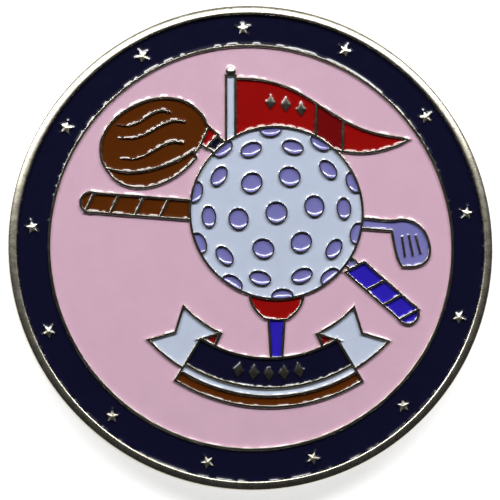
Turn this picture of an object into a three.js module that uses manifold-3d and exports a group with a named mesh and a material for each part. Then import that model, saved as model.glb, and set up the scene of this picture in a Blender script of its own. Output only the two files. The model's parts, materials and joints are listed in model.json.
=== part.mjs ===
// Struck-metal golf ball marker with soft enamel, in millimetres, +Z up.
// The coin lies on its back: the origin is the middle of the flat back face and the enamelled face looks up.
// One struck body carries the rim, the raised lines, the stars and the pockets; each pocket holds its own enamel fill.
import * as THREE from "three";
import { mergeVertices } from "three/addons/utils/BufferGeometryUtils.js";
import Module from "manifold-3d";

const wasm = await Module();
wasm.setup();

// ---- Coin ----
const COIN_R = 12.7;
const COIN_T = 2.0;
const RIM_WIDTH = 0.5;
const RIM_ROUND_R = 0.38;
const RIM_LIP = 0.06;
const BACK_ROUND_R = 0.25;
const LINE_TOP_Z = 1.9;
const FILL_Z = 1.74;
const FLOOR_Z = 1.45;

// ---- Raised lines ----
const LINE = 0.15;
const FINE_LINE = 0.11;
const RING_LINE = 0.18;
const BORDER_OUT_R = COIN_R - RIM_WIDTH;
const FIELD_R = 10.5;
const BORDER_IN_R = FIELD_R + RING_LINE;

// ---- Stars on the border ----
const STARS = { count: 13, ringR: 11.48, tipR: 0.41, notchR: 0.19, firstDeg: 92.3 };

// ---- Emblem: a teed ball over two crossed clubs, with a flag behind and a ribbon below ----
const BALL = { x: 1.3, y: 1.8, r: 4.45 };
const DIMPLE_R = 0.5;
const DIMPLE_RINGS = [
  { poleDeg: 0, count: 1, phaseDeg: 0 },
  { poleDeg: 27, count: 6, phaseDeg: 10 },
  { poleDeg: 53, count: 10, phaseDeg: 4 },
  { poleDeg: 79, count: 10, phaseDeg: 22 },
];
const STAFF = { x: -1.1, bottom: 5, top: 8.95, half: 0.17 };
const PENNANT = { length: 8.9, half: 1.75, middle: 7.03, drop: 1.35, wave: 0.42, fold: [3.35, 4.85] };
const DRIVER = { butt: [8.2, -3.45], neck: [-2.7, 6.05], gripHalf: 0.46, gripLength: 3.5, wraps: 3 };
const DRIVER_HEAD_TURN = 17;
const IRON = { butt: [-8.4, 2.25], neck: [7.7, 1.15], gripHalf: 0.44, gripLength: 5.2, wraps: 4 };
const SHAFT_HALF = 0.19;
const RIBBON = { x: 0.9, y: 1.0, inner: 6.9, outer: 9.3, halfDeg: 31, foldDeg: 6, tailDeg: 46, step: 0.75 };

const ROUND_STEPS = 96;
const BALL_STEPS = 60;
const DIMPLE_STEPS = 16;
const CURVE_STEPS = 6;

const rad = THREE.MathUtils.degToRad;
const vec = (x, y) => new THREE.Vector2(x, y);
const polar = (r, deg) => vec(r * Math.cos(rad(deg)), r * Math.sin(rad(deg)));
const series = (count, make) => Array.from({ length: count }, (_, i) => make(i));

// ---- Materials ----
const enamel = (hex) => new THREE.MeshStandardMaterial({ color: hex, roughness: 0.22, metalness: 0 });
const ENAMELS = {
  pink: enamel("#d4acc0"),
  navy: enamel("#14142c"),
  red: enamel("#9a100c"),
  dark_red: enamel("#6e0a0c"),
  brown: enamel("#5a2c0a"),
  white: enamel("#bcc6dc"),
  lilac: enamel("#8480be"),
  blue: enamel("#2c20a4"),
};
const NICKEL = new THREE.MeshStandardMaterial({ color: "#b4afa2", roughness: 0.2, metalness: 1 });

// ---- Outlines: closed lists of points in the plane of the face ----
function ellipse(x, y, rx, ry, turnDeg, steps) {
  const curve = new THREE.EllipseCurve(x, y, rx, ry, 0, 2 * Math.PI, false, rad(turnDeg));
  return curve.getPoints(steps).slice(0, -1);
}

const circle = (x, y, r, steps) => ellipse(x, y, r, r, 0, steps);

function drawn(draw, steps = CURVE_STEPS) {
  const shape = new THREE.Shape();
  draw(shape);
  return shape.getPoints(steps);
}

const placed = (points, x, y, turnDeg = 0) =>
  points.map((p) => p.clone().rotateAround(vec(0, 0), rad(turnDeg)).add(vec(x, y)));

const mirrored = (points) => points.map((p) => vec(-p.x, p.y));

function star(tipR, notchR) {
  return series(10, (i) => polar(i % 2 ? notchR : tipR, 36 * i));
}

const lozenge = (halfWidth, halfHeight) =>
  series(4, (i) => polar(1, 90 * i)).map((p) => vec(p.x * halfWidth, p.y * halfHeight));

// A stretch of a round bar that runs from a towards b; `slant` leans both its ends like a wrap of tape.
function bar(a, b, from, to, half, slant = 0) {
  const along = vec(...b).sub(vec(...a)).normalize();
  const turn = THREE.MathUtils.radToDeg(along.angle());
  const outline = [vec(from - slant, -half), vec(to - slant, -half), vec(to + slant, half), vec(from + slant, half)];
  return placed(outline, a[0], a[1], turn);
}

// A piece of a flat ring about the origin.
function band(innerR, outerR, fromDeg, toDeg, steps = 12) {
  const turn = (i) => fromDeg + ((toDeg - fromDeg) * i) / steps;
  const outer = series(steps + 1, (i) => polar(outerR, turn(i)));
  const inner = series(steps + 1, (i) => polar(innerR, turn(steps - i)));
  return [...outer, ...inner];
}

// Counter-clockwise and without doubled points.
function tidy(points) {
  const kept = points.filter((p, i) => p.distanceTo(points[(i + 1) % points.length]) > 1e-4);
  return THREE.ShapeUtils.isClockWise(kept) ? kept.reverse() : kept;
}

// The outline moved outwards by a distance, its corners mitred up to a limit.
function outset(points, distance) {
  const MITRE_LIMIT = 2.2;
  const n = points.length;
  return points.map((p, i) => {
    const before = p.clone().sub(points[(i + n - 1) % n]).normalize();
    const after = points[(i + 1) % n].clone().sub(p).normalize();
    const mitre = vec(before.y + after.y, -before.x - after.x);
    const reach = Math.min(2 / Math.max(mitre.lengthSq(), 1e-6), MITRE_LIMIT / Math.max(mitre.length(), 1e-6));
    return p.clone().addScaledVector(mitre, distance * reach);
  });
}

// ---- Solids ----
function solidOf(geometry) {
  const bare = geometry.clone();
  bare.deleteAttribute("normal");
  bare.deleteAttribute("uv");
  const merged = mergeVertices(bare, 1e-5);
  return new wasm.Manifold(
    new wasm.Mesh({
      numProp: 3,
      vertProperties: new Float32Array(merged.attributes.position.array),
      triVerts: new Uint32Array(merged.index.array),
    }),
  );
}

function geometryOf(solid) {
  const mesh = solid.getMesh();
  const geometry = new THREE.BufferGeometry();
  geometry.setAttribute("position", new THREE.BufferAttribute(mesh.vertProperties, 3));
  geometry.setIndex(new THREE.BufferAttribute(mesh.triVerts, 1));
  geometry.computeVertexNormals();
  return geometry;
}

// A pocket's prism runs from the floor to above the coin: it cuts the pocket and, lowered, becomes the fill.
const CUT_TOP_Z = COIN_T + 0.5;
function pocketPrism(points) {
  const depth = CUT_TOP_Z - FLOOR_Z;
  const geometry = new THREE.ExtrudeGeometry(new THREE.Shape(points), { depth, bevelEnabled: false });
  return solidOf(geometry.translate(0, 0, FLOOR_Z));
}

// ---- The design in layers, back to front. Each layer hides what lies behind it and behind its raised line. ----
// Islands stay raised within a fill; inlays are fills of another colour set into it and cut off at its outline.
// Where a fill ends up in several places, it has a name for each, the largest first.
const layers = [];

function region(names, colour, points, { islands = [], inlays = [], line = LINE } = {}) {
  return { names: [names].flat(), colour, points: tidy(points), islands: islands.map(tidy), inlays, line };
}

const fill = (...details) => layers.push(region(...details));
const raise = (points) => layers.push(region([], null, points, { line: 0 }));

function addBorderAndField() {
  const { count, ringR, tipR, notchR, firstDeg } = STARS;
  const stars = series(count, (i) => {
    const deg = firstDeg + (360 / count) * i;
    const at = polar(ringR, deg);
    return placed(star(tipR, notchR), at.x, at.y, deg);
  });
  fill("border_ring", "navy", circle(0, 0, BORDER_OUT_R, ROUND_STEPS), { islands: stars, line: 0 });
  raise(circle(0, 0, BORDER_IN_R, ROUND_STEPS));
  fill("pink_field", "pink", circle(0, 0, FIELD_R, ROUND_STEPS));
}

// The pennant tapers from the staff to its tip along one wave; t runs from 0 at the staff to 1 at the tip.
function pennantEdge(t, side) {
  const { length, half, middle, drop, wave } = PENNANT;
  const height = middle - drop * t + wave * Math.sin(2 * Math.PI * t);
  return vec(STAFF.x + STAFF.half + LINE + length * t, height + side * half * (1 - t) ** 0.85);
}

function pennantOutline(steps = 22) {
  const upper = series(steps + 1, (i) => pennantEdge(i / steps, 1));
  const lower = series(steps, (i) => pennantEdge((steps - 1 - i) / steps, -1));
  return [...upper, ...lower];
}

function addFlag() {
  const { x, bottom, top, half } = STAFF;
  const studs = [0.2, 0.29, 0.38].map((t) => {
    const at = pennantEdge(t, 0);
    return placed(lozenge(0.26, 0.36), at.x, at.y + 0.45, 0);
  });
  fill("flagstaff", "white", bar([x, 0], [x, 1], bottom, top, half));
  raise(circle(x, top + 0.24, 0.27, 16));
  const [left, right] = PENNANT.fold;
  const fold = [vec(left, 3), vec(right - 0.2, 3), vec(right, 10), vec(left + 0.2, 10)];
  fill(["pennant_fly", "pennant_hoist"], "red", pennantOutline(), {
    islands: studs,
    inlays: [region("pennant_fold", "dark_red", fold)],
  });
}

// A club's grip: a round butt, then wraps of tape, each lapping over the one before it.
function addGrip(name, colour, { butt, neck, gripHalf, gripLength, wraps }) {
  const pitch = gripLength / wraps;
  fill(`${name}_butt`, colour, circle(butt[0], butt[1], gripHalf + 0.03, 20));
  series(wraps, (i) => {
    fill(`${name}_wrap_${i + 1}`, colour, bar(butt, neck, i * pitch, (i + 1.1) * pitch, gripHalf, 0.17));
  });
}

function addDriver() {
  const { butt, neck } = DRIVER;
  const toNeck = vec(...butt).distanceTo(vec(...neck));
  const put = (points) => placed(points, neck[0], neck[1], DRIVER_HEAD_TURN);
  const grainLine = (x, y, length) =>
    drawn((s) => {
      s.moveTo(x, y);
      s.bezierCurveTo(x - length * 0.3, y + 0.75, x - length * 0.6, y - 0.55, x - length, y + 0.1);
      s.bezierCurveTo(x - length * 0.6, y - 0.68, x - length * 0.3, y + 0.61, x, y - 0.11);
    });

  fill("driver_shaft", "lilac", bar(butt, neck, 0, toNeck, SHAFT_HALF));
  addGrip("driver_grip", "blue", DRIVER);
  fill("driver_whipping", "navy", bar(butt, neck, toNeck - 1.7, toNeck - 0.6, 0.33));
  fill("driver_collar", "red", bar(butt, neck, toNeck - 0.75, toNeck + 0.3, 0.42));
  const crown = drawn((s) => {
    s.moveTo(0.4, 0.1);
    s.bezierCurveTo(0.35, 1.5, -0.9, 2.3, -2.3, 2.25);
    s.bezierCurveTo(-4.1, 2.15, -5.25, 1.3, -5.3, 0);
    s.bezierCurveTo(-5.3, -1.1, -4.4, -1.75, -2.9, -1.7);
    s.bezierCurveTo(-1.7, -1.65, -0.9, -1.2, -0.35, -0.75);
  });
  const sole = drawn((s) => {
    s.moveTo(-0.7, -1.0);
    s.bezierCurveTo(-1.6, -1.3, -3.9, -1.6, -5.2, -0.6);
    s.bezierCurveTo(-5.0, -1.4, -4.2, -2.05, -2.9, -2.0);
    s.bezierCurveTo(-1.9, -1.95, -1.2, -1.6, -0.7, -1.25);
  });
  const grain = [grainLine(-0.6, 0.75, 3.6), grainLine(-1.2, 1.45, 2.9), grainLine(-1.0, -0.3, 3.4)];
  fill("driver_head", "brown", put(crown), { islands: grain.map(put) });
  fill("driver_sole", "brown", put(sole));
}

function addIron() {
  const groove = ([x, y, dx, dy]) => bar([x, y], [x + dx, y + dy], 0, Math.hypot(dx, dy), 0.06);
  const shaftAndBlade = drawn((s) => {
    s.moveTo(4, 1.6);
    s.lineTo(7.4, 1.36);
    s.lineTo(7.95, 1.42);
    s.bezierCurveTo(8.9, 1.36, 9.25, 0.6, 9.3, -0.1);
    s.bezierCurveTo(9.3, -0.7, 8.9, -1.0, 7.95, -0.92);
    s.bezierCurveTo(7.62, -0.5, 7.58, 0.2, 7.42, 0.96);
    s.lineTo(4, 1.2);
  });
  const grooves = [[7.9, 0.6, 0.16, -1.05], [8.26, 0.68, 0.22, -1.1], [8.62, 0.66, 0.26, -0.95]];
  fill("iron_shaft_and_blade", "lilac", shaftAndBlade, { islands: grooves.map(groove) });
  addGrip("iron_grip", "brown", IRON);
}

function addTee() {
  const cup = drawn((s) => {
    s.moveTo(-1.35, 0.2);
    s.lineTo(1.35, 0.2);
    s.bezierCurveTo(1.3, -0.35, 1.0, -0.75, 0.55, -1.05);
    s.lineTo(-0.55, -1.05);
    s.bezierCurveTo(-1.0, -0.75, -1.3, -0.35, -1.35, 0.2);
  });
  const stem = [vec(-0.36, -0.9), vec(0.36, -0.9), vec(0.16, -4), vec(-0.16, -4)];
  const { x, y, r } = BALL;
  fill("tee_stem", "blue", placed(stem, x, y - r));
  fill("tee_cup", "red", placed(cup, x, y - r));
}

// The ribbon is three stripes on an arc, folded back at each end into a swallow tail.
function addRibbon() {
  const { x, y, inner, outer, halfDeg, foldDeg, tailDeg, step } = RIBBON;
  const put = (points) => placed(points, x, y);
  const [down, end] = [270, 270 + halfDeg];
  const tail = band(inner - step, outer - step, end - foldDeg, down + tailDeg, 5);
  tail.splice(6, 0, polar((inner + outer) / 2 - step, down + tailDeg - 5));
  const fold = [polar(inner, end), polar(inner, end - foldDeg), polar(inner - step * 0.85, end - foldDeg + 0.6)];
  for (const [side, turn] of [["right", (p) => p], ["left", mirrored]]) {
    fill(`ribbon_tail_${side}`, "white", put(turn(tail)));
    fill(`ribbon_fold_${side}`, "dark_red", put(turn(fold)));
  }
  const studs = [-12, -6, 0, 6, 12].map((turn) => {
    const at = polar(inner + 0.72, down + turn);
    return placed(lozenge(0.28, 0.38), at.x, at.y, turn);
  });
  const stripe = (from, to) => put(band(from, to, down - halfDeg - 3, end + 3, 20));
  fill("ribbon_band", "navy", put(band(inner, outer, down - halfDeg, end, 18)), {
    islands: studs.map(put),
    inlays: [
      region("ribbon_stripe", "white", stripe(outer - 0.85, outer - 0.3)),
      region("ribbon_hem", "brown", stripe(outer - 0.42, outer + 0.5)),
    ],
  });
}

// Dimples lie in rings about the ball's near point, narrower towards the limb, where the outline cuts them.
function addBall() {
  const { x, y, r } = BALL;
  const outlines = DIMPLE_RINGS.flatMap(({ poleDeg, count, phaseDeg }) =>
    series(count, (i) => {
      const turn = phaseDeg + (360 / count) * i;
      const at = polar(r * Math.sin(rad(poleDeg)), turn).add(vec(x, y));
      const narrow = Math.max(DIMPLE_R * Math.cos(rad(poleDeg)), 0.3);
      return ellipse(at.x, at.y, narrow, DIMPLE_R, turn, DIMPLE_STEPS);
    }),
  );
  const dimples = outlines.map((outline, i) =>
    region(`ball_dimple_${String(i + 1).padStart(2, "0")}`, "lilac", outline, { line: FINE_LINE }),
  );
  fill("ball", "white", circle(x, y, r, BALL_STEPS), { inlays: dimples });
}

addBorderAndField();
addFlag();
addDriver();
addIron();
addTee();
addRibbon();
addBall();

// ---- From layers to pockets, front to back: each region loses what the ones in front of it cover ----
const pockets = [];

function cut(regions, bound = null) {
  let covered = null;
  for (const { names, colour, points, islands, inlays, line } of [...regions].reverse()) {
    let open = pocketPrism(points);
    islands.forEach((island) => (open = open.subtract(pocketPrism(island))));
    if (bound) open = open.intersect(bound);
    if (covered) open = open.subtract(covered);
    if (inlays.length) open = open.subtract(cut(inlays, open));
    const bodies = open.decompose().sort((a, b) => b.volume() - a.volume());
    names.forEach((name, i) => pockets.push({ name: `${name}_enamel`, colour, solid: bodies[i] }));
    const cover = pocketPrism(line ? outset(points, line) : points);
    covered = covered ? covered.add(cover) : cover;
  }
  return covered;
}

// ---- The blank: a disc whose rim stands above the lines, turned about Z ----
function blank() {
  const corner = (x, z, r, fromDeg, steps) =>
    series(steps + 1, (i) => polar(r, fromDeg + (90 * i) / steps).add(vec(x, z)));
  const profile = [
    vec(0, 0),
    ...corner(COIN_R - BACK_ROUND_R, BACK_ROUND_R, BACK_ROUND_R, 270, 3),
    ...corner(COIN_R - RIM_ROUND_R, COIN_T - RIM_ROUND_R, RIM_ROUND_R, 0, 4),
    vec(BORDER_OUT_R + RIM_LIP, COIN_T),
    vec(BORDER_OUT_R, LINE_TOP_Z),
    vec(0, LINE_TOP_Z),
  ];
  return solidOf(new THREE.LatheGeometry(profile, ROUND_STEPS).rotateX(Math.PI / 2));
}

// ---- The scene graph ----
const marker = new THREE.Group();

function addPiece(name, geometry, material, z = 0) {
  const mesh = new THREE.Mesh(geometry, material);
  mesh.name = name;
  mesh.position.z = z;
  marker.add(mesh);
}

cut(layers);
pockets.reverse();
const struck = pockets.reduce((body, pocket) => body.subtract(pocket.solid), blank());
addPiece("struck_body", geometryOf(struck), NICKEL);

const LOWERED = (FILL_Z - FLOOR_Z) / (CUT_TOP_Z - FLOOR_Z);
for (const { name, colour, solid } of pockets) {
  const geometry = geometryOf(solid).translate(0, 0, -FLOOR_Z).scale(1, 1, LOWERED);
  addPiece(name, geometry, ENAMELS[colour], FLOOR_Z);
}

export default marker;
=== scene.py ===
"""Looks of a struck-metal golf ball marker with soft enamel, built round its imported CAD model.

The CAD fills give every outline on the face. Each fill is rebuilt as a pool of enamel that climbs a little
up the metal round it, and the struck body is rebuilt with rounded lines, faceted stars and a sloping rim.
Shapes are worked out in millimetres and stored in metres.
"""
import json
import math

import bmesh
import bpy
import numpy as np
from mathutils import Matrix, Vector, noise
from mathutils.geometry import delaunay_2d_cdt
from mathutils.kdtree import KDTree


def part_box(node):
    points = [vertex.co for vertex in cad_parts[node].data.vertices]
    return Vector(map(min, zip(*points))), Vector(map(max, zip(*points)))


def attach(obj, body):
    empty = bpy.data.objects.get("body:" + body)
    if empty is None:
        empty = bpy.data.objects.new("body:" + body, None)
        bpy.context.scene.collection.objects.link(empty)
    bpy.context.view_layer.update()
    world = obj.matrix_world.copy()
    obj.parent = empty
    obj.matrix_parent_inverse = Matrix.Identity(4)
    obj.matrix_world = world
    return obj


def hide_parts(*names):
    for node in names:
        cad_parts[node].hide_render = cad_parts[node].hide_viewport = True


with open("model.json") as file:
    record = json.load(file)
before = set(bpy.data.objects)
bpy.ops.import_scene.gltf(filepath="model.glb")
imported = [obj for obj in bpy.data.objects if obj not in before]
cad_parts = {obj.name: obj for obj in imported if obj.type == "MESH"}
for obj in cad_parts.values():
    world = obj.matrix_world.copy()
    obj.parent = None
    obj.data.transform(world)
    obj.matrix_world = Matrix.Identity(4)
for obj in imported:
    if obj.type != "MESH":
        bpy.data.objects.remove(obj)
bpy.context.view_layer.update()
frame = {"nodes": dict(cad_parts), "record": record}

MM = 1000.0
BODY = "struck_body"
BORDER = "border_ring_enamel"

# ---- Sizes taken from the CAD model, in millimetres ----
COIN_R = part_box(BODY)[1].x * MM
CREST_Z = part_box(BODY)[1].z * MM
FLOOR_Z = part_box(BORDER)[0].z * MM
FILL_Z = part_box(BORDER)[1].z * MM
LINE_Z = CREST_Z - 0.1
BALL_LOW, BALL_HIGH = (np.array(corner[:2]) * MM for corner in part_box("ball_enamel"))
BALL_CENTRE = (BALL_LOW + BALL_HIGH) / 2
BALL_R = (BALL_HIGH - BALL_LOW)[0] / 2

# ---- Raised lines: a low crown between steep edges, domed where wide (pairs of width and height) ----
LINE_CROWN = (0.075, 0.0035)
LINE_EDGE = (0.013, 0.036)
DOME_W, DOME_RISE = 0.3, 0.05
LINE_LAYERS = (0.013, 0.026, 0.05, 0.075, 0.1, 0.15, 0.2, 0.26)
# Lines are flat on the ball and up to the first distance outside it, and fully rounded from the second.
BALL_FADE = (0.1, 0.3)

# ---- Studs: the stars and lozenges, no wider than the span, with facets that rise to a point ----
STUD_SPAN = 1.2
STUD_Z, STUD_RISE = LINE_Z - 0.05, 0.03

# ---- Rim: a narrow bevel, a wide slope that steepens outwards, a rounded corner and a tucked-in side ----
BEVEL_WIDTH, BEVEL_RISE = 0.09, 0.05
SLOPE_FIRST, SLOPE_LAST = 4, 24
SLOPE_MARGIN = 0.055
RIM_CORNER_R = 0.093
TUCK, TUCK_Z = 0.35, 1.2

# ---- Enamel: it climbs the metal round it over a band this wide, this steeply, in patches if given ----
WIDE_CLIMB = {"band": 0.25, "slope": 0.325, "patch": 0.42}
FINE_CLIMB = {"band": 0.19, "slope": 0.34, "patch": 0.2}
BALL_CLIMB = {"band": 0.22, "slope": 0.33, "patch": 0.16}
DIMPLE_CLIMB = {"band": 0.3, "slope": 0.45, "patch": None}
SHALLOWEST = 0.4
PATCH_MIDDLE, PATCH_CONTRAST = 0.6, 3.5
# The ball's and the border's enamel reaches this far past its CAD outline, which thins the lines between.
GROWTH = 0.022
FILL_LAYERS = (0.08, 0.2, 0.35, 0.5, 0.66, 0.82, 1.0)

# ---- Resolution ----
STEP = 0.06
FINE_STEP = 0.015
GRID = 0.45
CORNER = math.radians(42)
CLOSEST = 0.012
# Rays into a corner stop growing at this cosine, and rays round a corner fan out from this turn in radians.
SMALLEST_COSINE = 0.35
FAN_TURN = 0.5
# A point is used when it lies at least this share of its depth inside the outline.
DEEP_ENOUGH = 0.97

# ---- Camera and light, in metres, watts and degrees ----
CAMERA_AZIMUTH = -45
CAMERA_ELEVATION = 83
CAMERA_DISTANCE = 0.2
HALF_VIEW = 0.01308
AIM = Vector((-0.000048, -0.000138, 0.0014))
SOFT_BOXES = {
    "key": {"size": (0.33, 0.033), "power": 0.6, "azimuth": -3, "elevation": 57, "distance": 0.2},
    "overhead": {"size": (0.3, 0.05), "power": 0.02, "azimuth": 0, "elevation": 68, "distance": 0.25},
    "under": {"size": (0.9, 0.9), "power": 1.0, "azimuth": 20, "elevation": -60, "distance": 0.5},
}
WORLD_COLOUR = (0.02, 0.02, 0.023, 1)
# The stage's floor is a little above the coin's back, so that a view from below sees the back.
STAGE_HALF, STAGE_Z = 1.5, 0.02 / MM


# ---- Outlines ----
def clamped(value):
    return min(1.0, max(0.0, value))


def unit(v):
    return np.asarray(v) / max(np.linalg.norm(v), 1e-12)


def cap_outlines(node):
    """The outlines of a fill's top face, each with the fill on its left."""
    mesh = frame["nodes"][node].data
    points = np.array([v.co for v in mesh.vertices], float) * MM
    top = points[:, 2].max() - 1e-3
    edges = set()
    for face in mesh.polygons:
        if points[face.vertices, 2].min() > top:
            ring = [tuple(points[v, :2].round(4)) for v in face.vertices]
            edges.update(zip(ring, ring[1:] + ring[:1]))
    following = {a: b for a, b in edges if (b, a) not in edges}
    outlines = []
    while following:
        start = min(following)
        outline, at = [], start
        while at in following:
            outline.append(at)
            at = following.pop(at)
        outlines.append(np.array(outline))
    return outlines


def spaced(points, gap=0.02):
    """The points without those that crowd the one before."""
    kept = [points[0]]
    for p in points[1:]:
        if np.linalg.norm(p - kept[-1]) > gap:
            kept.append(p)
    if np.linalg.norm(kept[0] - kept[-1]) < gap:
        kept.pop()
    return np.array(kept)


def turns(points):
    """How far the outline turns to the left at each point, in radians."""
    ahead = np.roll(points, -1, 0) - points
    behind = points - np.roll(points, 1, 0)
    cross = behind[:, 0] * ahead[:, 1] - behind[:, 1] * ahead[:, 0]
    return np.arctan2(cross, (behind * ahead).sum(1))


def spline_point(p0, p1, p2, p3, share):
    """A point between p1 and p2 on the centripetal curve through all four."""
    gaps = [math.sqrt(np.linalg.norm(b - a)) for a, b in ((p0, p1), (p1, p2), (p2, p3))]
    t = np.cumsum([0, *gaps])
    x = t[1] + share * (t[2] - t[1])

    def between(a, b, i, j):
        return a + (b - a) * ((x - t[i]) / (t[j] - t[i]))

    a, b, c = between(p0, p1, 0, 1), between(p1, p2, 1, 2), between(p2, p3, 2, 3)
    return between(between(a, b, 0, 2), between(b, c, 1, 3), 1, 2)


def smoothed(points):
    """The outline resampled every STEP along a smooth curve through its points, with its corners kept."""
    points = spaced(points)
    corner = np.abs(turns(points)) > CORNER
    if corner.any():
        first = int(np.argmax(corner))
        points, corner = np.roll(points, -first, 0), np.roll(corner, -first)
    count, made = len(points), []
    for i in range(count):
        p1, p2 = points[i], points[(i + 1) % count]
        p0 = 2 * p1 - p2 if corner[i] else points[i - 1]
        p3 = 2 * p2 - p1 if corner[(i + 1) % count] else points[(i + 2) % count]
        pieces = max(1, math.ceil(np.linalg.norm(p2 - p1) / STEP))
        made += [spline_point(p0, p1, p2, p3, k / pieces) for k in range(pieces)]
    return np.array(made)


def grown(outline, by):
    """The outline moved to its right, away from the fill on its left."""
    along = np.roll(outline, -1, 0) - np.roll(outline, 1, 0)
    return outline + by * np.array([unit((dy, -dx)) for dx, dy in along])


# ---- Flat triangulations ----
def inside(points, outlines):
    """True for each point that an odd number of the outlines go round."""
    odd = np.zeros(len(points), bool)
    for outline in outlines:
        x1, y1 = outline.T
        x2, y2 = np.roll(outline, -1, 0).T
        for part in np.array_split(np.arange(len(points)), max(1, len(points) // 2000)):
            x, y = points[part, 0][:, None], points[part, 1][:, None]
            crosses = (y1 > y) != (y2 > y)
            rise = np.where(y2 == y1, 1.0, y2 - y1)
            odd[part] ^= ((crosses & (x < (x2 - x1) * (y - y1) / rise + x1)).sum(1) % 2).astype(bool)
    return odd


def triangulated(outlines, extra):
    """Points and counter-clockwise triangles that fill what lies inside an odd number of the outlines."""
    points = np.vstack([*outlines, extra]) if len(extra) else np.vstack(outlines)
    edges, start = [], 0
    for outline in outlines:
        size = len(outline)
        edges += [(start + i, start + (i + 1) % size) for i in range(size)]
        start += size
    made = delaunay_2d_cdt([Vector(p) for p in points], edges, [], 0, 1e-6)
    source = [first[0] if first else None for first in made[3]]
    if None in source:
        raise ValueError("two outlines cross")
    faces = np.array([[source[v] for v in face] for face in made[2]])
    a, b, c = (points[faces[:, i]] for i in range(3))
    area = (b[:, 0] - a[:, 0]) * (c[:, 1] - a[:, 1]) - (b[:, 1] - a[:, 1]) * (c[:, 0] - a[:, 0])
    faces[area < 0] = faces[area < 0][:, ::-1]
    kept = (np.abs(area) > 1e-9) & inside((a + b + c) / 3, outlines)
    return points, faces[kept]


def boundary_tree(outlines):
    """A tree that finds how far a point is from the outlines."""
    fine = []
    for outline in outlines:
        for a, b in zip(outline, np.roll(outline, -1, 0)):
            pieces = max(1, math.ceil(np.linalg.norm(b - a) / FINE_STEP))
            fine += [a + (b - a) * k / pieces for k in range(pieces)]
    tree = KDTree(len(fine))
    for i, p in enumerate(fine):
        tree.insert((p[0], p[1], 0), i)
    tree.balance()
    return tree


def rays(outline, side):
    """Pairs of a point and a direction square to the outline there, to one side (1 left, -1 right).

    A direction into a corner is longer, so that its end stays as far from both edges, and one round a
    corner fans out.
    """
    bends = turns(outline) * side
    ahead = np.roll(outline, -1, 0) - outline
    behind = outline - np.roll(outline, 1, 0)
    found = []
    for point, bend, before, after in zip(outline, bends, behind, ahead):
        before, after = unit(before), unit(after)
        middle = unit(before + after)
        directions = [middle / max(math.cos(bend / 2), SMALLEST_COSINE) if bend > 0 else middle]
        if bend < -FAN_TURN:
            directions += [before, after, unit(before + middle), unit(after + middle)]
        found += [(point, side * np.array([-d[1], d[0]])) for d in directions]
    return found


def layered(outlines, side, depths, tree):
    """Points at each depth to one side of the outlines, as far as the region is that deep.

    Their depths and the points of the outline that they stand off from come with them.
    """
    points, at_depth, feet, taken = [], [], [], set()
    all_rays = [ray for outline in outlines for ray in rays(outline, side)]
    for depth in depths:
        for point, direction in all_rays:
            p = point + direction * depth
            cell = (round(p[0] / CLOSEST), round(p[1] / CLOSEST))
            if cell in taken or tree.find((p[0], p[1], 0))[2] < DEEP_ENOUGH * depth:
                continue
            taken.add(cell)
            points.append(p)
            at_depth.append(depth)
            feet.append(point)
    return np.array(points).reshape(-1, 2), at_depth, np.array(feet).reshape(-1, 2)


def grid_points(outlines, clearance, tree):
    """Points on a staggered grid inside the outlines and clear of them."""
    low, high = np.vstack(outlines).min(0), np.vstack(outlines).max(0)
    rows = np.arange(low[1], high[1], GRID * 0.866)
    columns = np.arange(low[0], high[0], GRID)
    grid = np.array([(x + (i % 2) * GRID / 2, y) for i, y in enumerate(rows) for x in columns])
    grid = grid[inside(grid, outlines)]
    clear = [tree.find((x, y, 0))[2] > clearance for x, y in grid]
    return grid[np.array(clear, bool)].reshape(-1, 2)


# ---- Meshes ----
class Solid:
    """Vertices and faces of one closed piece, put together from patches that share their edges' points."""

    def __init__(self):
        self.points, self.faces, self.smooth = [], [], []

    def patch(self, points, faces, flipped=False, faceted=False):
        start = len(self.points)
        self.points += [tuple(p) for p in points]
        self.faces += [[start + v for v in (reversed(face) if flipped else face)] for face in faces]
        self.smooth += [not faceted] * len(faces)

    def flat(self, outlines, z, flipped):
        points, faces = triangulated(outlines, np.empty((0, 2)))
        self.patch(lifted(points, z), faces, flipped, faceted=True)

    def strip(self, lower, upper, flipped=False):
        """A closed band of quads between two rings of the same count."""
        count = len(lower)
        faces = [(i, (i + 1) % count, count + (i + 1) % count, count + i) for i in range(count)]
        self.patch([*lower, *upper], faces, flipped)

    def build(self, name, sharp_deg):
        mesh = bpy.data.meshes.new(name)
        shape = bmesh.new()
        for x, y, z in self.points:
            shape.verts.new((x / MM, y / MM, z / MM))
        shape.verts.ensure_lookup_table()
        for face, smooth in zip(self.faces, self.smooth):
            shape.faces.new([shape.verts[v] for v in face]).smooth = smooth
        bmesh.ops.remove_doubles(shape, verts=shape.verts, dist=1e-7)
        bmesh.ops.dissolve_degenerate(shape, edges=shape.edges, dist=1e-8)
        bmesh.ops.recalc_face_normals(shape, faces=shape.faces)
        loose = sum(1 for e in shape.edges if len(e.link_faces) != 2)
        if loose:
            print(name, "has", loose, "edges that don't join two faces")
        shape.to_mesh(mesh)
        shape.free()
        mesh.set_sharp_from_angle(angle=math.radians(sharp_deg))
        piece = bpy.data.objects.new(name, mesh)
        bpy.context.scene.collection.objects.link(piece)
        return piece


def lifted(points, z):
    return [(x, y, z) for x, y in points]


# ---- The struck body ----
def line_height(point, depth):
    """Height of a line at a depth inside its edge. The lines on the ball are flat, with crisp edges."""
    beyond = np.linalg.norm(point - BALL_CENTRE) - BALL_R
    softness = clamped((beyond - BALL_FADE[0]) / (BALL_FADE[1] - BALL_FADE[0]))
    fall = sum(drop * max(0.0, 1 - depth / width) ** 2 for width, drop in (LINE_CROWN, LINE_EDGE))
    share = max(0.0, depth - LINE_CROWN[0]) / DOME_W
    return LINE_Z - softness * fall + DOME_RISE * (1 - (1 - share) ** 2)


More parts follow.
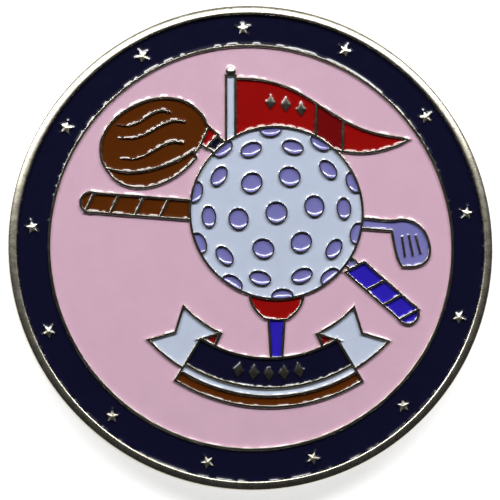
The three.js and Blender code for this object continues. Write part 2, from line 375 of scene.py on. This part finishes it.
def is_stud(outline, others):
    """True for a small island of metal that nothing else lies in."""
    if np.ptp(outline, 0).max() > STUD_SPAN or turns(outline).sum() > 0:
        return False
    starts = np.array([other[0] for other in others if other is not outline])
    return not inside(starts, [outline]).any()


def rim_profile(inner_r):
    """Radius and height across the rim, from the top of its inner wall to the edge of the back.

    A narrow bevel rises to the crest, a wide slope falls from it to a rounded corner, and the side tucks in.
    """
    outer = COIN_R - 1e-4
    crest_r = inner_r + BEVEL_WIDTH
    bevel = [
        (inner_r + BEVEL_WIDTH * share, CREST_Z - BEVEL_RISE * (1 - math.sin(share * math.pi / 2)))
        for share in (1 / 3, 2 / 3, 1)
    ]
    slopes = np.radians(np.linspace(SLOPE_FIRST, SLOPE_LAST, 8))
    step = (outer - SLOPE_MARGIN - crest_r) / len(slopes)
    falls = np.cumsum(np.tan(slopes) * step)
    wide = [(crest_r + step * (i + 1), CREST_Z - fall) for i, fall in enumerate(falls)]
    centre_r, centre_z = outer - RIM_CORNER_R, wide[-1][1] - RIM_CORNER_R * math.cos(slopes[-1])
    turn = np.radians(np.linspace(SLOPE_LAST, 90, 6))[1:]
    corner = [(centre_r + RIM_CORNER_R * math.sin(a), centre_z + RIM_CORNER_R * math.cos(a)) for a in turn]
    down = np.linspace(0, math.pi / 2, 7)
    side = [(outer - TUCK * (1 - math.cos(a)), TUCK_Z * (1 - math.sin(a))) for a in down]
    return bevel + wide + corner + side


def build_body(fills, border):
    solid = Solid()
    rim_outline = max(border, key=lambda outline: np.ptp(outline, 0).max())
    every = [outline for outlines in [*fills.values(), border] for outline in outlines]
    inner = [outline for outline in every if outline is not rim_outline]
    studs = [outline for outline in inner if is_stud(outline, inner)]
    lines = [outline for outline in inner if not any(outline is stud for stud in studs)]

    tree = boundary_tree(lines)
    extra, depths, _ = layered(lines, -1, LINE_LAYERS, tree)
    points, faces = triangulated(lines, extra)
    all_depths = [0.0] * (len(points) - len(extra)) + depths
    solid.patch([(*p, line_height(p, depth)) for p, depth in zip(points, all_depths)], faces)

    for outline in lines:
        solid.strip(lifted(outline, FLOOR_Z), [(*p, line_height(p, 0)) for p in outline], flipped=True)
    for outline in studs:
        count = len(outline)
        cap = [*lifted(outline, STUD_Z), (*outline.mean(0), STUD_Z + STUD_RISE)]
        solid.patch(cap, [(i, (i + 1) % count, count) for i in range(count)], faceted=True)
        solid.strip(lifted(outline, FLOOR_Z), cap[:-1], flipped=True)
    solid.strip(lifted(rim_outline, FLOOR_Z), lifted(rim_outline, CREST_Z - BEVEL_RISE), flipped=True)
    for outlines in [*fills.values(), border]:
        solid.flat(outlines, FLOOR_Z, flipped=False)

    inner_r = np.linalg.norm(rim_outline, axis=1).mean()
    ring = lifted(rim_outline, CREST_Z - BEVEL_RISE)
    for r, z in rim_profile(inner_r):
        following = lifted([unit(p) * r for p in rim_outline], z)
        solid.strip(following, ring)
        ring = following
    back = np.array([p[:2] for p in ring])
    solid.flat([back], ring[0][2], flipped=True)
    return solid.build("struck_metal", 75)


# ---- The enamel ----
def climb_of(node):
    if node in (BORDER, "pink_field_enamel"):
        return WIDE_CLIMB
    if node.startswith("ball_dimple"):
        return DIMPLE_CLIMB
    return BALL_CLIMB if node.startswith("ball") else FINE_CLIMB


def fill_height(depth, foot, band, slope, patch):
    """Height of the enamel at a depth inside its edge, where its foot is the nearest point of that edge."""
    if patch:
        share = clamped(PATCH_MIDDLE + PATCH_CONTRAST * noise.noise(Vector((*foot, 0.1)) / patch))
        slope *= SHALLOWEST + (1 - SHALLOWEST) * share
    return FILL_Z + slope * band / 2 * max(0.0, 1 - depth / band) ** 2


def build_fill(node, outlines):
    solid = Solid()
    tree = boundary_tree(outlines)
    climb = climb_of(node)
    band = climb["band"]
    extra, depths, feet = layered(outlines, 1, [share * band for share in FILL_LAYERS], tree)
    middle = grid_points(outlines, band + GRID / 4, tree)
    points, faces = triangulated(outlines, np.vstack([extra, middle]))
    edge = np.vstack(outlines)
    all_depths = [0.0] * len(edge) + depths + [band] * len(middle)
    all_feet = np.vstack([edge, feet, middle])
    heights = [fill_height(depth, foot, **climb) for depth, foot in zip(all_depths, all_feet)]
    top = [(x, y, z) for (x, y), z in zip(points, heights)]
    solid.patch(top, faces)
    solid.flat(outlines, FLOOR_Z, flipped=True)
    start = 0
    for outline in outlines:
        upper = top[start : start + len(outline)]
        solid.strip(lifted(outline, FLOOR_Z), upper)
        start += len(outline)
    return solid.build(node.replace("_enamel", "_fill"), 50)


# ---- Materials ----
class Look:
    """A material being put together from nodes round one Principled shader."""

    def __init__(self, name):
        self.material = bpy.data.materials.new(name)
        self.material.use_nodes = True
        self.tree = self.material.node_tree
        self.shader = self.tree.nodes["Principled BSDF"]
        coordinates = self.tree.nodes.new("ShaderNodeTexCoord")
        self.place = self.node("ShaderNodeMapping", Vector=coordinates.outputs["Object"])
        self.place.inputs["Scale"].default_value = (MM, MM, MM)

    def node(self, kind, settings=None, **inputs):
        made = self.tree.nodes.new(kind)
        for key, value in (settings or {}).items():
            setattr(made, key, value)
        for key, value in inputs.items():
            self.feed(made.inputs[key.replace("_", " ")], value)
        return made

    def feed(self, socket, value):
        if isinstance(value, bpy.types.NodeSocket):
            self.tree.links.new(value, socket)
        else:
            socket.default_value = value

    def noise(self, scale, detail=2.0, roughness=0.5):
        made = self.node("ShaderNodeTexNoise", Vector=self.place.outputs["Vector"], Scale=scale)
        self.feed(made.inputs["Detail"], detail)
        self.feed(made.inputs["Roughness"], roughness)
        return made.outputs["Fac"]

    def ramp(self, value, low, high, low_out=0.0, high_out=1.0):
        made = self.node("ShaderNodeMapRange", Value=value)
        for index, number in ((1, low), (2, high), (3, low_out), (4, high_out)):
            made.inputs[index].default_value = number
        return made.outputs["Result"]

    def mix(self, amount, first, second):
        made = self.node("ShaderNodeMix", {"data_type": "RGBA"})
        self.feed(made.inputs["Factor"], amount)
        self.feed(made.inputs[6], first)
        self.feed(made.inputs[7], second)
        return made.outputs[2]

    def bump(self, height, strength, distance_mm, normal=None):
        made = self.node("ShaderNodeBump", Height=height, Strength=strength, Distance=distance_mm / MM)
        if normal:
            self.feed(made.inputs["Normal"], normal)
        return made.outputs["Normal"]


def linear(hex_colour):
    """An sRGB colour written as six digits, as linear light with alpha 1."""
    parts = [int(hex_colour[i : i + 2], 16) / 255 for i in (0, 2, 4)]
    return (*(c / 12.92 if c <= 0.04045 else ((c + 0.055) / 1.055) ** 2.4 for c in parts), 1.0)


def shade(colour, factor):
    return (*(min(1.0, c * factor) for c in colour[:3]), 1.0)


def enamel_look(name, hex_colour, mottle=0.02):
    """Glossy soft enamel: faintly mottled pigment, fine specks, and a surface that isn't quite level."""
    look = Look(name)
    colour = linear(hex_colour)
    cloudy = look.ramp(look.noise(0.9, 4.0, 0.6), 0.35, 0.65)
    base = look.mix(cloudy, shade(colour, 1 - mottle), shade(colour, 1 + mottle))
    specks = look.ramp(look.noise(7.0, 1.0), 0.76, 0.8)
    base = look.mix(specks, base, shade(colour, 0.8))
    look.feed(look.shader.inputs["Base Color"], base)
    smear = look.ramp(look.noise(1.7, 3.0, 0.6), 0.3, 0.7, 0.06, 0.12)
    look.feed(look.shader.inputs["Roughness"], smear)
    level = look.bump(look.noise(1.1, 1.0), 0.4, 0.008)
    grain = look.bump(look.noise(18.0, 2.0), 0.3, 0.0008, level)
    look.feed(look.shader.inputs["Normal"], grain)
    look.shader.inputs["Specular IOR Level"].default_value = 0.7
    return look.material


def nickel_look():
    """Bright plated nickel: fine grain, small nicks, duller patches, and a rim dulled by handling."""
    look = Look("nickel")
    flat_place = look.node("ShaderNodeVectorMath", {"operation": "MULTIPLY"})
    look.feed(flat_place.inputs[0], look.place.outputs["Vector"])
    flat_place.inputs[1].default_value = (1, 1, 0)
    radius = look.node("ShaderNodeVectorMath", {"operation": "LENGTH"})
    look.feed(radius.inputs[0], flat_place.outputs["Vector"])
    handled = look.ramp(radius.outputs["Value"], 10.8, 11.1, 0.0, 0.13)
    dull = look.ramp(look.noise(1.3, 4.0, 0.65), 0.35, 0.7)
    base = look.mix(dull, linear("d2cdbb"), linear("bfb9a6"))
    nicks = look.ramp(look.noise(5.0, 3.0, 0.7), 0.68, 0.74)
    base = look.mix(nicks, base, linear("8a8474"))
    look.feed(look.shader.inputs["Base Color"], base)
    look.shader.inputs["Metallic"].default_value = 1.0
    worn = look.ramp(look.noise(2.0, 4.0, 0.7), 0.3, 0.75, 0.11, 0.2)
    rough = look.node("ShaderNodeMath", {"operation": "ADD"})
    look.feed(rough.inputs[0], worn)
    look.feed(rough.inputs[1], handled)
    look.feed(look.shader.inputs["Roughness"], rough.outputs["Value"])
    dents = look.bump(look.noise(2.4, 2.0, 0.5), 0.5, 0.01)
    grain = look.bump(look.noise(20.0, 3.0, 0.6), 0.3, 0.001, dents)
    look.feed(look.shader.inputs["Normal"], grain)
    return look.material


ENAMEL_COLOURS = {
    "pink_enamel": "d6b0c3",
    "navy_enamel": "0e0e27",
    "red_enamel": "900b08",
    # dark_red_enamel is the red enamel darkened: painted shade for the folds
    "dark_red_enamel": "6c080a",
    "brown_enamel": "542704",
    "white_enamel": "c0cade",
    "lilac_enamel": "7876b4",
    "blue_enamel": "2c1fae",
}


# ---- Stage ----
def soft_box(name, size, power, azimuth, elevation, distance):
    """A soft box whose middle lies that way from the coin, azimuth 0 at +Y and 90 at +X, and faces it."""
    light = bpy.data.lights.new(name, "AREA")
    light.shape = "RECTANGLE"
    light.size, light.size_y = size
    light.energy = power
    lamp = bpy.data.objects.new(name, light)
    a, e = math.radians(azimuth), math.radians(elevation)
    lamp.location = Vector((math.sin(a) * math.cos(e), math.cos(a) * math.cos(e), math.sin(e))) * distance
    lamp.rotation_mode = "QUATERNION"
    lamp.rotation_quaternion = (-lamp.location).to_track_quat("-Z", "Y")
    bpy.context.scene.collection.objects.link(lamp)


def build_stage():
    square = ((-1, -1), (1, -1), (1, 1), (-1, 1))
    corners = [(x * STAGE_HALF, y * STAGE_HALF, STAGE_Z) for x, y in square]
    mesh = bpy.data.meshes.new("floor")
    mesh.from_pydata(corners, [], [(0, 1, 2, 3)])
    floor = bpy.data.objects.new("floor", mesh)
    look = Look("floor_paper")
    look.feed(look.shader.inputs["Base Color"], (0.75, 0.75, 0.75, 1))
    look.shader.inputs["Roughness"].default_value = 0.9
    look.shader.inputs["Specular IOR Level"].default_value = 0.1
    look.shader.inputs["Emission Color"].default_value = (1, 1, 1, 1)
    look.shader.inputs["Emission Strength"].default_value = 0.7
    mesh.materials.append(look.material)
    bpy.context.scene.collection.objects.link(floor)

    world = bpy.data.worlds.new("studio")
    world.use_nodes = True
    world.node_tree.nodes["Background"].inputs["Color"].default_value = WORLD_COLOUR
    bpy.context.scene.world = world
    for name, settings in SOFT_BOXES.items():
        soft_box(name, **settings)


def build_camera():
    data = bpy.data.cameras.new("camera")
    camera = bpy.data.objects.new("camera", data)
    a, e = math.radians(CAMERA_AZIMUTH), math.radians(CAMERA_ELEVATION)
    back = Vector((math.sin(a) * math.cos(e), -math.cos(a) * math.cos(e), math.sin(e)))
    right = Vector((0, 1, 0)).cross(back).normalized()
    turn = Matrix((right, back.cross(right), back)).transposed()
    camera.matrix_world = Matrix.Translation(AIM + back * CAMERA_DISTANCE) @ turn.to_4x4()
    data.lens = data.sensor_width / 2 * CAMERA_DISTANCE / HALF_VIEW
    data.clip_start, data.clip_end = 0.001, 10
    bpy.context.scene.collection.objects.link(camera)
    bpy.context.scene.camera = camera
    bpy.context.scene.view_settings.view_transform = "Standard"


# ---- Put together ----
def put(piece, node, material):
    piece.data.materials.append(material)
    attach(piece, "root")
    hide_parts(node)


build_camera()
build_stage()
slots = {part["node"]: part["material_slot"] for part in frame["record"]["subparts"]}
looks = {slot: enamel_look(slot, colour) for slot, colour in ENAMEL_COLOURS.items()}
outlines = {node: [smoothed(o) for o in cap_outlines(node)] for node in sorted(slots) if node != BODY}
for node in outlines:
    if node.startswith(("ball", "border")):
        outlines[node] = [grown(outline, GROWTH) for outline in outlines[node]]
for node, fill_outlines in outlines.items():
    put(build_fill(node, fill_outlines), node, looks[slots[node]])
border_outlines = outlines.pop(BORDER)
put(build_body(outlines, border_outlines), BODY, nickel_look())
